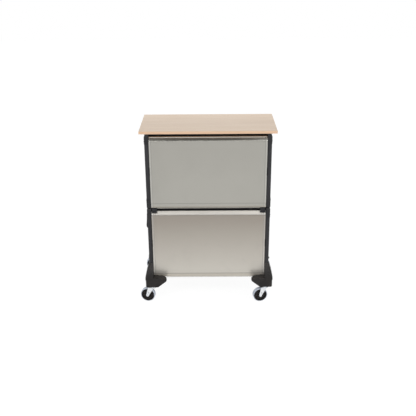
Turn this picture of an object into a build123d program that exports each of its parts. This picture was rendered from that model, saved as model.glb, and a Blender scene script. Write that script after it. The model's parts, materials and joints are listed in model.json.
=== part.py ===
"""Tool cart: two stacked drawer modules in black frames, a wooden worktop, moulded feet and swivel casters.

Millimetres. +Z is up, z = 0 is the floor and the origin lies under the middle of the cart. The closed rear
of the cart faces -Y and the drawers open towards +Y.
"""

import os
from math import cos, radians, sin

from build123d import *

os.makedirs("parts", exist_ok=True)

# Modules
module_width = 622
module_depth = 318
module_height = 388
ground_clearance = 126
drawers_per_module = 2

# Worktop
board_thickness = 13.5
board_side_overhang = 23
board_end_overhang = 4
board_edge_radius = 0.8

# Frame posts, drawn aluminium with a rounded outer nose
post_width = 20.5
post_depth = 24
post_nose_radius = 7
post_back_radius = 3
post_wall = 2.2

# Moulded corner blocks that join posts and rails
corner_width = 23
corner_depth = 26
corner_foot = 22
corner_length = 52
corner_web_radius = 12
corner_side_radius = 9
corner_proud = 1
top_corner_radius = 21
joint_corner_radius = 10

# Rails between the corner blocks
cross_rail_height = 17
cross_rail_depth = 20
cross_rail_wall = 2
cross_rail_setback = 18

# Pressed sheet fronts and rear panels
sheet = 1.5
lip_nose_setback = 1
lip_drop = 20.2
nose_radius = 2.4
field_setback = 7
side_strip_width = 9
side_strip_setback = 3
bottom_strip_height = 22
bottom_strip_setback = 5
bottom_return = 12
panel_bottom_gap = 5
rear_skirts = {"lower": 5, "upper": 2}
rear_lip_gaps = {"lower": 2, "upper": 0}

# Kick strip under the lowest drawer, between the horns of the feet
kick_horn_gap = 26.5
kick_drawer_gap = 2.5
kick_setback = 4
kick_return = 12

# Side walls and module floors
side_wall_setback = 10
side_wall_corner = 14
floor_sheet = 1.2
floor_clearance = 0.4

# Clips that hold the two modules together, and catches that hold a rear panel in its posts
clip_width = 25
clip_inset = 28
clip_top = 3
clip_crown_setback = 8
clip_face_setback = 3
clip_drop = 24
clip_shoulder = 4
clip_slope_drop = 14
flat_clip_drop = 6
catch_length = 40
catch_width = 2.2
catch_thickness = 2.2

# Drawers
drawer_side_gap = 2
drawer_front_gap = 3
tray_wall = 1.2
tray_side_clearance = 12.5
tray_depth = 264
tray_height = 118
tray_lift = 18
tray_corner_radius = 6
tray_hem = 5

# Telescopic slides, each in three nested channels
outer_rail_length = 286
outer_rail_height = 45
middle_rail_length = 250
inner_rail_length = 250
rail_sheet = 1.5
rail_play = 0.3
rail_web_gap = 1.5
rail_front_lap = 3
rail_stop = 3
outer_rail_reach = 9
inner_rail_reach = 7
middle_rail_tray_gap = 2
slide_lift_share = 0.5

# Feet
foot_bottom = 86.5
foot_top_rise = 83
foot_flare = 19.5
foot_flare_rise = 5
foot_toe = 43
foot_back = 58
foot_tip = 91.5
foot_seam_height = 127
foot_seam_step = 1.6
foot_draft = 0.3
foot_horn_rise = 11.5
foot_horn_drop = 5.5
foot_nose_radius = 34
foot_tip_radius = 6
foot_sole = 46
foot_heel_radius = 10
foot_ridge_radius = 5.5
foot_edge_radius = 2
foot_fit = 0.2
foot_wall = 4.5
foot_roof = 5
foot_rib = 3
foot_shoulder_drop = 20
foot_flank_lead = 4
foot_toe_lead = 17
foot_flare_lead = 26

# Casters
caster_x = 293.5
caster_y = 181
wheel_diameter = 75
wheel_width = 22
tyre_depth = 3.4
tyre_shoulder = 2.6
caster_trail = 27
fork_sheet = 2.5
fork_gap = 1.6
fork_plate_thickness = 3
fork_plate_radius = 18
fork_plate_level = 79
fork_leg_front = 7
fork_leg_back = 24
fork_leg_end_radius = 7.5
swivel_gap = 0.3
race_radius = 18
kingpin_radius = 5
kingpin_head_radius = 7
kingpin_head = 2.5
kingpin_length = 34
axle_radius = 4
axle_head = 4
axle_head_radius = 6.5
axle_overhang = 3
running_fit = 0.05
hub_radius = 9
hub_rim = 3
hub_web = 6
hub_overlap = 1
wheel_ribs = 8
wheel_rib_thickness = 2.5
wheel_rib_inset = 2.5

# Brake pedals on the two casters under the drawer side
pedal_arm = 3
pedal_gap = 0.4
pedal_pivot_back = 21
pedal_pivot_height = 51
pedal_pivot_radius = 2.5
pedal_eye_radius = 6
pedal_inner_back = 38
pedal_outer_back = 52
pedal_bottom = 71
pedal_top = 81
pedal_tyre_gap = 4.5
stud_length = 4

overrun = 5

# Levels and planes that follow from the sizes above
wheel_radius = wheel_diameter / 2
joint_level = ground_clearance + module_height
top_level = joint_level + module_height
side_x = module_width / 2
end_y = module_depth / 2
post_x = side_x - corner_proud - post_width / 2
post_y = end_y - corner_proud - post_depth / 2
post_inner_x = post_x - post_width / 2
corner_inner_x = side_x - corner_width
rail_inner_y = end_y - cross_rail_setback - cross_rail_depth
panel_width = 2 * corner_inner_x
foot_top = foot_seam_height + foot_top_rise
foot_shoulder_height = foot_top - foot_shoulder_drop
foot_flare_height = foot_seam_height + foot_flare_rise
foot_horn_top = foot_seam_height + foot_horn_rise
module_levels = {"lower": ground_clearance, "upper": joint_level}


def write(piece, name):
    """Labels a finished piece and writes its STEP file."""
    piece.part.label = name
    export_step(piece.part, f"parts/{name}.step")


# Worktop: one board over the whole frame, with lightly eased edges
with BuildPart() as worktop:
    with BuildSketch(Plane.XY.offset(top_level)):
        Rectangle(module_width + 2 * board_side_overhang, module_depth + 2 * board_end_overhang)
    extrude(amount=board_thickness)
    fillet(worktop.edges(), radius=board_edge_radius)
write(worktop, "worktop")


def posts(level):
    """The four upright posts of a module, hollow, with their rounded nose outwards."""
    with BuildPart() as part:
        with BuildSketch(Plane.XY.offset(level + corner_length)):
            with Locations((post_x, post_y)):
                Rectangle(post_width, post_depth)
            outer = vertices().group_by(Axis.Y)[-1]
            inner = vertices().group_by(Axis.Y)[0]
            fillet(outer, radius=post_nose_radius)
            fillet(inner, radius=post_back_radius)
            with Locations((post_x, post_y)):
                Rectangle(post_width - 2 * post_wall, post_depth - 2 * post_wall, mode=Mode.SUBTRACT)
            mirror(about=Plane.XZ)
            mirror(about=Plane.YZ)
        extrude(amount=module_height - 2 * corner_length)
    return part


def corner_block(level, inward, radius):
    """One corner block at +X +Y: an L in side view, rounded in plan and in front view.

    inward is 1 where the block stands on its level and -1 where it hangs under it.
    """
    with BuildPart() as block:
        with BuildSketch(Plane.YZ.offset(corner_inner_x)):
            with BuildLine():
                Polyline(
                    (end_y, level),
                    (end_y - corner_length, level),
                    (end_y - corner_length, level + inward * corner_foot),
                    (end_y - corner_depth, level + inward * corner_foot),
                    (end_y - corner_depth, level + inward * corner_length),
                    (end_y, level + inward * corner_length),
                    close=True,
                )
            make_face()
            tip = vertices().sort_by_distance((end_y, level))
            web_point = (end_y - corner_depth, level + inward * corner_foot)
            web = vertices().sort_by_distance(web_point)
            fillet(tip[0], radius=corner_side_radius)
            fillet(web[0], radius=corner_web_radius)
        extrude(amount=corner_width)
        with BuildSketch(Plane.XZ.offset(-end_y)):
            with Locations((side_x - corner_width / 2, level + inward * corner_length / 2)):
                Rectangle(corner_width, corner_length)
            tip = vertices().sort_by_distance((side_x, level))
            fillet(tip[0], radius=radius)
        extrude(amount=corner_length, mode=Mode.INTERSECT)
        with BuildSketch(Plane.XY.offset(min(level, level + inward * corner_length))):
            with Locations((side_x - corner_width / 2, end_y - corner_length / 2)):
                Rectangle(corner_width, corner_length)
            nose = vertices().group_by(Axis.Y)[-1]
            fillet(nose, radius=post_nose_radius)
        extrude(amount=corner_length, mode=Mode.INTERSECT)
    return block


def corner_blocks(level, bottom_radius, top_radius):
    """The eight corner blocks of a module."""
    low = corner_block(level, 1, bottom_radius)
    high = corner_block(level + module_height, -1, top_radius)
    with BuildPart() as part:
        add(low.part)
        add(high.part)
        mirror(about=Plane.XZ)
        mirror(about=Plane.YZ)
    return part


def side_rails(level, bottom_radius, top_radius):
    """The four rails along Y, each with its outer edge rounded like the corner blocks beside it."""
    height = corner_foot - corner_proud
    with BuildPart() as part:
        with BuildSketch(Plane.XZ.offset(corner_length - end_y)):
            for edge, inward, radius in (
                (level + corner_proud, 1, bottom_radius),
                (level + module_height - corner_proud, -1, top_radius),
            ):
                with BuildSketch(mode=Mode.PRIVATE) as section:
                    with Locations((post_x, edge + inward * height / 2)):
                        Rectangle(post_width, height)
                    tip = vertices().sort_by_distance((post_x + post_width / 2, edge))
                    fillet(tip[0], radius=radius - corner_proud)
                add(section.sketch)
            mirror(about=Plane.YZ)
        extrude(amount=module_depth - 2 * corner_length)
    return part


def cross_rails(level):
    """The four hollow rails along X that join the two side frames, set back from the outer faces."""
    with BuildPart() as part:
        with BuildSketch(Plane.YZ.offset(-corner_inner_x)):
            for centre in (level + cross_rail_height / 2, level + module_height - cross_rail_height / 2):
                with Locations((rail_inner_y + cross_rail_depth / 2, centre)):
                    Rectangle(cross_rail_depth, cross_rail_height)
                    Rectangle(
                        cross_rail_depth - 2 * cross_rail_wall,
                        cross_rail_height - 2 * cross_rail_wall,
                        mode=Mode.SUBTRACT,
                    )
            mirror(about=Plane.YZ)
        extrude(amount=2 * corner_inner_x)
    return part


def side_walls(level):
    """The two flat side walls of a module, each held in the opening of its side frame."""
    with BuildPart() as part:
        with BuildSketch(Plane.YZ.offset(side_x - side_wall_setback)):
            with Locations((0, level + module_height / 2)):
                RectangleRounded(
                    module_depth - 2 * corner_depth,
                    module_height - 2 * corner_foot,
                    side_wall_corner,
                )
        extrude(amount=-sheet)
        mirror(about=Plane.YZ)
    return part


def module_floor(level):
    """The floor sheet of a module, lying on its lower cross rails, with a turned down edge at each end."""
    width = 2 * (corner_inner_x - floor_clearance)
    edge_y = rail_inner_y - floor_clearance
    with BuildPart() as part:
        with BuildSketch(Plane.XY.offset(level + cross_rail_height)):
            Rectangle(width, 2 * (rail_inner_y + cross_rail_depth))
        extrude(amount=floor_sheet)
        with BuildSketch(Plane.XY.offset(level + cross_rail_height)):
            with Locations((0, edge_y - floor_sheet / 2), (0, floor_sheet / 2 - edge_y)):
                Rectangle(width, floor_sheet)
        extrude(amount=-(cross_rail_height - cross_rail_wall))
    return part


def pressed_panel(width, bottom, top, facing, drop=lip_drop):
    """A pressed sheet front: a sloping grip lip with a rolled nose, a flat field between sloping side strips,
    and a forward sloping strip with a return along the bottom.

    facing is 1 for a front on the +Y side and -1 for one on the -Y side.
    """
    lip_top = cross_rail_setback
    nose_level = top - drop

    def point(setback, level):
        return (facing * (end_y - setback), level)

    with BuildPart() as part:
        with BuildSketch(Plane.YZ.offset(-width / 2)):
            with BuildLine():
                FilletPolyline(
                    point(lip_top, top),
                    point(lip_nose_setback, nose_level),
                    point(field_setback, nose_level - nose_radius),
                    point(field_setback, bottom + bottom_strip_height),
                    point(bottom_strip_setback, bottom),
                    point(bottom_return, bottom),
                    radius=sheet,
                )
                offset(amount=sheet, side=Side.RIGHT if facing > 0 else Side.LEFT)
            make_face()
        extrude(amount=width)
        strip_bottom = bottom + bottom_strip_height
        with BuildSketch(Plane.XY.offset(strip_bottom)):
            with BuildLine():
                outer = facing * (end_y - side_strip_setback)
                inner = facing * (end_y - field_setback)
                step = facing * sheet
                Polyline(
                    (width / 2, outer),
                    (width / 2 - side_strip_width, inner),
                    (width / 2 - side_strip_width, inner - step),
                    (width / 2, inner - step),
                    close=True,
                )
            make_face()
            mirror(about=Plane.YZ)
        extrude(amount=nose_level - nose_radius - strip_bottom)
    return part


def clips():
    """The four clips that hold the two modules together: a pair hooked over the lip of the lower rear panel,
    and a flat pair on the rails above the drawers, clear of the drawer that slides out under them.
    """
    slope = (cross_rail_setback - lip_nose_setback) / lip_drop
    hook_setback = cross_rail_setback - (clip_drop - cross_rail_height) * slope
    with BuildPart() as part:
        with BuildSketch(Plane.YZ.offset(corner_inner_x - clip_inset)):
            with BuildLine():
                Polyline(
                    (cross_rail_setback - end_y, joint_level + clip_top),
                    (clip_crown_setback - end_y, joint_level + clip_top),
                    (clip_crown_setback - end_y, joint_level - clip_shoulder),
                    (clip_face_setback - end_y, joint_level - clip_slope_drop),
                    (clip_face_setback - end_y, joint_level - clip_drop),
                    (hook_setback - end_y, joint_level - clip_drop),
                    (cross_rail_setback - end_y, joint_level - cross_rail_height),
                    close=True,
                )
            make_face()
            middle_y = end_y - (cross_rail_setback + clip_crown_setback) / 2
            with Locations((middle_y, joint_level - flat_clip_drop)):
                Rectangle(cross_rail_setback - clip_crown_setback, 2 * (clip_top + flat_clip_drop))
        extrude(amount=clip_width)
        mirror(about=Plane.YZ)
    return part


def catches():
    """The four catches half way up the rear posts, each lapping over the edge of a rear panel."""
    with BuildPart() as part:
        for level in module_levels.values():
            with BuildSketch(Plane.XY.offset(level + (module_height - catch_length) / 2)):
                panel_edge_y = side_strip_setback - end_y
                with Locations((post_inner_x - catch_width / 2, panel_edge_y - catch_thickness / 2)):
                    Rectangle(catch_width, catch_thickness)
                mirror(about=Plane.YZ)
            extrude(amount=catch_length)
    return part


# Frames and skins of the two modules
for name, level in module_levels.items():
    top_radius = top_corner_radius if name == "upper" else joint_corner_radius
    write(posts(level), f"{name}_posts")
    write(corner_blocks(level, joint_corner_radius, top_radius), f"{name}_corner_blocks")
    write(side_rails(level, joint_corner_radius, top_radius), f"{name}_side_rails")
    write(cross_rails(level), f"{name}_cross_rails")
    write(side_walls(level), f"{name}_side_walls")
    write(module_floor(level), f"{name}_floor")
    panel_bottom = level + panel_bottom_gap - rear_skirts[name]
    panel_top = level + module_height - cross_rail_height - rear_lip_gaps[name]
    rear = pressed_panel(panel_width, panel_bottom, panel_top, -1, lip_drop - rear_lip_gaps[name])
    write(rear, f"{name}_rear_panel")

write(clips(), "module_clips")
write(catches(), "panel_catches")


# Kick strip: a pressed strip between the front posts, with a return along each long edge
with BuildPart() as kick_strip:
    strip_bottom = ground_clearance + panel_bottom_gap
    strip_top = foot_horn_top + kick_horn_gap - kick_drawer_gap
    with BuildSketch(Plane.YZ.offset(-corner_inner_x)):
        with BuildLine():
            FilletPolyline(
                (end_y - kick_setback - kick_return, strip_top),
                (end_y - kick_setback, strip_top),
                (end_y - kick_setback, strip_bottom),
                (end_y - kick_setback - kick_return, strip_bottom),
                radius=sheet,
            )
            offset(amount=sheet, side=Side.RIGHT)
        make_face()
    extrude(amount=panel_width)
write(kick_strip, "kick_strip")


# Telescopic slides
def channel(outside_x, web_side, height, reach, start_y, length, centre_z):
    """One C channel along Y, with its web at outside_x and its flanges reaching towards web_side."""
    with BuildPart() as part:
        with BuildSketch(Plane.XZ.offset(-start_y)):
            with Locations((outside_x + web_side * reach / 2, centre_z)):
                Rectangle(reach, height)
            with Locations((outside_x + web_side * (reach / 2 + rail_sheet), centre_z)):
                Rectangle(reach, height - 2 * rail_sheet, mode=Mode.SUBTRACT)
        extrude(amount=-length)
    return part.part


def pair(make):
    """A left and a right copy of a channel."""
    with BuildPart() as part:
        add(make)
        mirror(about=Plane.YZ)
    return part


tray_x = post_inner_x - tray_side_clearance
bay_bottoms = {
    "lower": max(foot_horn_top + kick_horn_gap, ground_clearance + panel_bottom_gap),
    "upper": joint_level + panel_bottom_gap,
}
tray_front_y = end_y - field_setback - sheet
rail_front_y = end_y - cross_rail_setback + rail_front_lap
middle_rail_height = outer_rail_height - 2 * (rail_sheet + rail_play)
inner_rail_height = middle_rail_height - 2 * (rail_sheet + rail_play)
middle_outside_x = post_inner_x - rail_sheet - rail_web_gap
middle_reach = middle_outside_x - tray_x - middle_rail_tray_gap
sliding_start = rail_front_y - rail_stop - middle_rail_length
drawer_places = {}
for module, level in module_levels.items():
    bay_bottom = bay_bottoms[module]
    pitch = (level + module_height - cross_rail_height - bay_bottom) / drawers_per_module
    for row in range(drawers_per_module):
        place = "bottom" if row == 0 else "top"
        drawer_places[f"{module}_{place}"] = (bay_bottom + row * pitch, pitch - drawer_front_gap)

outer_rails = []
for floor, front_height in drawer_places.values():
    rail_z = floor + tray_lift + tray_height * slide_lift_share
    outer_rails.append(
        channel(
            post_inner_x, -1, outer_rail_height, outer_rail_reach,
            rail_front_y - outer_rail_length, outer_rail_length, rail_z,
        )
    )
with BuildPart() as slide_outer_rails:
    add(outer_rails)
    mirror(about=Plane.YZ)
write(slide_outer_rails, "slide_outer_rails")


def tray(floor):
    """An open topped sheet tray with hemmed rims and rounded upright corners."""
    back_y = tray_front_y - tray_depth
    with BuildPart() as part:
        with BuildSketch(Plane.XY.offset(floor + tray_lift)):
            with Locations((0, tray_front_y - tray_depth / 2)):
                Rectangle(2 * tray_x, tray_depth)
        extrude(amount=tray_height)
        with BuildSketch(Plane.XY.offset(floor + tray_lift + tray_wall)):
            with Locations((0, tray_front_y - tray_depth / 2)):
                RectangleRounded(2 * (tray_x - tray_wall), tray_depth - 2 * tray_wall, tray_corner_radius)
        extrude(amount=tray_height, mode=Mode.SUBTRACT)
        with BuildSketch(Plane.XY.offset(floor + tray_lift + tray_height)):
            with Locations((0, back_y + tray_depth / 2)):
                RectangleRounded(2 * (tray_x - tray_wall), tray_depth - 2 * tray_wall, tray_corner_radius)
                RectangleRounded(
                    2 * (tray_x - tray_wall - tray_hem),
                    tray_depth - 2 * (tray_wall + tray_hem),
                    tray_corner_radius,
                    mode=Mode.SUBTRACT,
                )
        extrude(amount=-tray_wall)
    return part


for name, (floor, front_height) in drawer_places.items():
    rail_z = floor + tray_lift + tray_height * slide_lift_share
    write(tray(floor), f"{name}_tray")
    front = pressed_panel(panel_width - 2 * drawer_side_gap, floor, floor + front_height, 1)
    write(front, f"{name}_front")
    inner = channel(
        tray_x, 1, inner_rail_height, inner_rail_reach, sliding_start, inner_rail_length, rail_z
    )
    write(pair(inner), f"{name}_inner_rails")
    middle = channel(
        middle_outside_x, -1, middle_rail_height, middle_reach, sliding_start, middle_rail_length, rail_z
    )
    write(pair(middle), f"{name}_middle_rails")


# Feet
foot_outer_x = side_x + foot_flare
foot_toe_y = end_y + foot_toe
foot_back_y = end_y - foot_back
foot_tip_x = side_x - foot_tip
foot_sole_x = side_x - foot_sole


def foot_plan(step):
    """The foot's outline from above, a seam step inside the boot's, with the horn's inner corner rounded."""
    with BuildSketch() as outline:
        with BuildLine():
            Polyline(
                (foot_tip_x + step, foot_toe_y + overrun),
                (foot_tip_x + step, end_y),
                (foot_sole_x, end_y),
                (foot_sole_x, foot_back_y - overrun),
                (foot_outer_x + overrun, foot_back_y - overrun),
                (foot_outer_x + overrun, foot_toe_y + overrun),
                close=True,
            )
        make_face()
        nose = vertices().sort_by_distance((foot_tip_x + step, end_y))
        fillet(nose[0], radius=foot_nose_radius)
    return outline.sketch


def foot_base():
    """The lower half of the foot at +X +Y: drafted sides, an underside that slants up to the horn's tip, and
    rounded ridges all round.
    """
    with BuildPart() as part:
        with BuildSketch(Plane.XZ.offset(-foot_toe_y)):
            with BuildLine():
                Polyline(
                    (foot_outer_x - foot_seam_step, foot_seam_height),
                    (foot_outer_x - foot_seam_step - foot_draft, foot_bottom),
                    (foot_sole_x, foot_bottom),
                    (foot_tip_x + foot_seam_step, foot_seam_height - foot_horn_drop),
                    (foot_tip_x + foot_seam_step, foot_seam_height),
                    close=True,
                )
            make_face()
        extrude(amount=foot_toe + foot_back)
        with BuildSketch(Plane.YZ.offset(foot_tip_x - overrun)):
            with BuildLine():
                Polyline(
                    (foot_toe_y - foot_seam_step, foot_seam_height),
                    (foot_toe_y - foot_seam_step - foot_draft, foot_bottom),
                    (foot_back_y + foot_seam_step + foot_draft, foot_bottom),
                    (foot_back_y + foot_seam_step, foot_seam_height),
                    close=True,
                )
            make_face()
        extrude(amount=foot_outer_x - foot_tip_x + 2 * overrun, mode=Mode.INTERSECT)
        heels = edges().filter_by(
            lambda edge: edge.center().X > side_x and edge.bounding_box().size.Z > foot_seam_step
        )
        fillet(heels, radius=foot_heel_radius)
        low_edges = edges().filter_by(lambda edge: edge.center().Z < foot_seam_height - foot_seam_step)
        fillet(low_edges, radius=foot_edge_radius)
        with BuildSketch(Plane.XY.offset(foot_bottom)):
            add(foot_plan(foot_seam_step))
        extrude(amount=foot_seam_height - foot_bottom, mode=Mode.INTERSECT)
    return part


def foot_boot():
    """The upper half of the foot at +X +Y: a boot that flares out from the post, with the horn's back along
    the end face.
    """
    with BuildPart() as part:
        with BuildSketch(Plane.XZ.offset(-foot_toe_y)):
            with BuildLine():
                flank = Bezier(
                    (side_x, foot_top),
                    (side_x + foot_flank_lead, foot_shoulder_height),
                    (foot_outer_x, foot_flare_height + foot_flare_lead),
                    (foot_outer_x, foot_flare_height),
                )
                Polyline(
                    flank @ 1,
                    (foot_outer_x, foot_seam_height),
                    (foot_tip_x, foot_seam_height),
                    (foot_tip_x, foot_horn_top),
                    (corner_inner_x, foot_horn_top),
                    (corner_inner_x, foot_top),
                    flank @ 0,
                )
            make_face()
        extrude(amount=foot_toe + foot_back)
        with BuildSketch(Plane.YZ.offset(foot_tip_x - overrun)):
            with BuildLine():
                toe = Bezier(
                    (end_y, foot_top),
                    (end_y + foot_toe_lead, foot_shoulder_height),
                    (foot_toe_y, foot_flare_height + foot_flare_lead),
                    (foot_toe_y, foot_flare_height),
                )
                Polyline(
                    toe @ 1,
                    (foot_toe_y, foot_seam_height),
                    (foot_back_y, foot_seam_height),
                    (foot_back_y, foot_flare_height),
                    (end_y - corner_depth, foot_top),
                    toe @ 0,
                )
            make_face()
        extrude(amount=foot_outer_x - foot_tip_x + 2 * overrun, mode=Mode.INTERSECT)
        with BuildSketch(Plane.XY.offset(foot_seam_height)):
            add(foot_plan(0))
        extrude(amount=foot_top - foot_seam_height, mode=Mode.INTERSECT)
        toe_side = edges().filter_by(lambda edge: edge.center().Y > end_y)
        toe_side = toe_side.filter_by(lambda edge: edge.center().Z > foot_seam_height)
        heel = toe_side.filter_by(lambda edge: edge.bounding_box().min.X > corner_inner_x)
        heel = heel.filter_by(lambda edge: edge.bounding_box().size.Z > foot_fit)
        fillet(heel, radius=foot_heel_radius)
        tip = edges().filter_by(Axis.Z).filter_by(lambda edge: edge.center().X < foot_tip_x + foot_fit)
        tip = tip.filter_by(lambda edge: edge.center().Y > foot_toe_y - foot_toe / 2)
        tip = tip.sort_by(Axis.Y)[-1]
        fillet(tip, radius=foot_tip_radius)
        ridge = edges().filter_by(lambda edge: edge.bounding_box().min.Z > foot_horn_top - foot_fit)
        ridge = ridge.filter_by(lambda edge: edge.bounding_box().max.Z < foot_horn_top + foot_fit)
        ridge = ridge.filter_by(lambda edge: edge.center().Y > end_y + foot_fit)
        ridge = ridge.filter_by(lambda edge: edge.bounding_box().max.X < corner_inner_x + foot_fit)
        ridge = ridge.filter_by(lambda edge: edge.bounding_box().min.X < corner_inner_x - foot_fit)
        fillet(ridge, radius=foot_ridge_radius)
    return part


def foot():
    """The moulded foot at +X +Y: base and boot in one, hollow underneath round the kingpin's boss, with the
    frame's corner standing in it.
    """
    pocket_top = ground_clearance - foot_roof
    with BuildPart() as part:
        add(foot_base().part)
        add(foot_boot().part)
        with BuildSketch(Plane.XY.offset(ground_clearance)):
            with Locations(((foot_tip_x - overrun + side_x) / 2, (foot_back_y - overrun + end_y) / 2)):
                Rectangle(
                    side_x - foot_tip_x + overrun + 2 * foot_fit,
                    end_y - foot_back_y + overrun + 2 * foot_fit,
                )
        extrude(amount=foot_top, mode=Mode.SUBTRACT)
        with BuildSketch(Plane.XY.offset(foot_bottom)):
            pocket_x = (foot_sole_x + foot_wall, foot_outer_x - foot_seam_step - foot_draft - foot_wall)
            pocket_y = (foot_back_y + foot_seam_step + foot_draft + foot_wall, caster_y)
            with Locations((sum(pocket_x) / 2, sum(pocket_y) / 2)):
                RectangleRounded(pocket_x[1] - pocket_x[0], pocket_y[1] - pocket_y[0], foot_wall)
            with Locations((caster_x, caster_y)):
                Circle(race_radius + foot_rib, mode=Mode.SUBTRACT)
            with Locations((caster_x, sum(pocket_y) / 2)):
                Rectangle(foot_rib, pocket_y[1] - pocket_y[0], mode=Mode.SUBTRACT)
            with Locations((sum(pocket_x) / 2, (pocket_y[0] + caster_y - race_radius) / 2)):
                Rectangle(pocket_x[1] - pocket_x[0], foot_rib, mode=Mode.SUBTRACT)
        extrude(amount=pocket_top - foot_bottom, mode=Mode.SUBTRACT)
        with Locations((caster_x, caster_y, foot_bottom)):
            Cylinder(
                kingpin_radius + running_fit,
                kingpin_length,
                align=(Align.CENTER, Align.CENTER, Align.MIN),
                mode=Mode.SUBTRACT,
            )
    return part


# Each corner's name, the way that it lies from the middle, and its caster's turn from trailing to -X
corners = {
    "rear_left": (-1, -1, -8),
    "rear_right": (1, -1, 10),
    "front_left": (-1, 1, 4),
    "front_right": (1, 1, 138),
}
foot_shape = foot()
for name, (toward_x, toward_y, turn) in corners.items():
    with BuildPart() as corner_foot_part:
        add(foot_shape.part)
        if toward_x < 0:
            mirror(about=Plane.YZ, mode=Mode.REPLACE)
        if toward_y < 0:
            mirror(about=Plane.XZ, mode=Mode.REPLACE)
    write(corner_foot_part, f"{name}_foot")


# Casters
with BuildPart() as caster_races:
    with BuildSketch(Plane.XY.offset(fork_plate_level + fork_plate_thickness + swivel_gap)):
        with Locations(*[(x * caster_x, y * caster_y) for x, y, turn in corners.values()]):
            Circle(race_radius)
            Circle(kingpin_radius + running_fit, mode=Mode.SUBTRACT)
    extrude(amount=foot_bottom - fork_plate_level - fork_plate_thickness - swivel_gap)
write(caster_races, "caster_races")

with BuildPart() as caster_kingpins:
    pin_places = [(x * caster_x, y * caster_y) for x, y, turn in corners.values()]
    with BuildSketch(Plane.XY.offset(fork_plate_level - swivel_gap - kingpin_head)):
        with Locations(*pin_places):
            Circle(kingpin_head_radius)
    extrude(amount=kingpin_head)
    with BuildSketch(Plane.XY.offset(fork_plate_level - swivel_gap)):
        with Locations(*pin_places):
            Circle(kingpin_radius)
    extrude(amount=foot_bottom + kingpin_length - fork_plate_level + swivel_gap)
write(caster_kingpins, "caster_kingpins")


def caster_planes(name):
    """The planes of a caster: level with +X trailing, and upright with +X trailing and +Y up."""
    toward_x, toward_y, turn = corners[name]
    stem = (toward_x * caster_x, toward_y * caster_y, 0)
    trail = (-cos(radians(turn)), -sin(radians(turn)), 0)
    across = (trail[1], -trail[0], 0)
    return Plane(stem, x_dir=trail, z_dir=(0, 0, 1)), Plane(stem, x_dir=trail, z_dir=across)


fork_inside = wheel_width / 2 + fork_gap
fork_outside = fork_inside + fork_sheet


def fork(name, braked):
    """A pressed fork: a plate with a rounded crown and two tapered legs, drilled for kingpin and axle."""
    level_plane, upright_plane = caster_planes(name)
    with BuildPart() as part:
        with BuildSketch(level_plane.offset(fork_plate_level)):
            Circle(fork_plate_radius)
            with Locations(((fork_leg_back - fork_leg_front) / 2, 0)):
                Rectangle(fork_leg_back + fork_leg_front, 2 * fork_outside)
            Circle(kingpin_radius + running_fit, mode=Mode.SUBTRACT)
        extrude(amount=fork_plate_thickness)
        for side in (-1, 1):
            with BuildSketch(upright_plane.offset(fork_inside if side > 0 else -fork_outside)):
                with BuildLine():
                    Polyline(
                        (-fork_leg_front, fork_plate_level + fork_plate_thickness),
                        (fork_leg_back, fork_plate_level + fork_plate_thickness),
                        (caster_trail + fork_leg_end_radius, wheel_radius),
                        (caster_trail - fork_leg_end_radius, wheel_radius),
                        close=True,
                    )
                make_face()
                with Locations((caster_trail, wheel_radius)):
                    Circle(fork_leg_end_radius)
                    Circle(axle_radius + running_fit, mode=Mode.SUBTRACT)
                if not braked:
                    with Locations((pedal_pivot_back, pedal_pivot_height)):
                        Circle(pedal_pivot_radius, mode=Mode.SUBTRACT)
            extrude(amount=fork_sheet)
        if braked:
            for side in (-1, 1):
                start = fork_outside if side > 0 else -fork_outside - stud_length
                with BuildSketch(upright_plane.offset(start)):
                    with Locations((pedal_pivot_back, pedal_pivot_height)):
                        Circle(pedal_pivot_radius)
                extrude(amount=stud_length)
    return part


def wheel_profile_plane(name):
    """An upright plane through the wheel's axle, with +X along the axle and +Y up."""
    upright = caster_planes(name)[1]
    centre = upright.from_local_coords((caster_trail, wheel_radius, 0))
    return Plane(centre, x_dir=upright.z_dir, z_dir=-upright.x_dir)


def tyre(name):
    """A tyre with a rounded tread, seated on the rim of the wheel core."""
    plane = wheel_profile_plane(name)
    with BuildPart() as part:
        with BuildSketch(plane):
            with Locations((0, wheel_radius - tyre_depth / 2)):
                Rectangle(wheel_width, tyre_depth)
            tread = vertices().group_by(Axis.Y)[-1]
            fillet(tread, radius=tyre_shoulder)
        revolve(axis=Axis(plane.origin, plane.x_dir))
    return part


def wheel_core(name):
    """A moulded wheel core: rim, dished web and long hub, bored for the axle."""
    plane = wheel_profile_plane(name)
    rim_radius = wheel_radius - tyre_depth
    rim_half = wheel_width / 2 - running_fit * 2
    rib_half = rim_half - wheel_rib_inset
    with BuildPart() as part:
        with BuildSketch(plane):
            with BuildLine():
                Polyline(
                    (hub_web / 2, hub_radius),
                    (wheel_width / 2 + fork_gap / 2, hub_radius),
                    (wheel_width / 2 + fork_gap / 2, axle_radius + running_fit),
                    (-wheel_width / 2 - fork_gap / 2, axle_radius + running_fit),
                    (-wheel_width / 2 - fork_gap / 2, hub_radius),
                    (-hub_web / 2, hub_radius),
                    (-hub_web / 2, rim_radius - 2 * hub_rim),
                    (-rim_half, rim_radius - hub_rim),
                    (-rim_half, rim_radius),
                    (rim_half, rim_radius),
                    (rim_half, rim_radius - hub_rim),
                    (hub_web / 2, rim_radius - 2 * hub_rim),
                    close=True,
                )
            make_face()
        revolve(axis=Axis(plane.origin, plane.x_dir))
        rib_reach = rim_radius - hub_rim - hub_radius + 2 * hub_overlap
        with BuildSketch(Plane(plane.origin, x_dir=plane.z_dir, z_dir=plane.x_dir).offset(-rib_half)):
            with PolarLocations(hub_radius - hub_overlap + rib_reach / 2, wheel_ribs):
                Rectangle(rib_reach, wheel_rib_thickness)
        extrude(amount=2 * rib_half)
    return part


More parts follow.
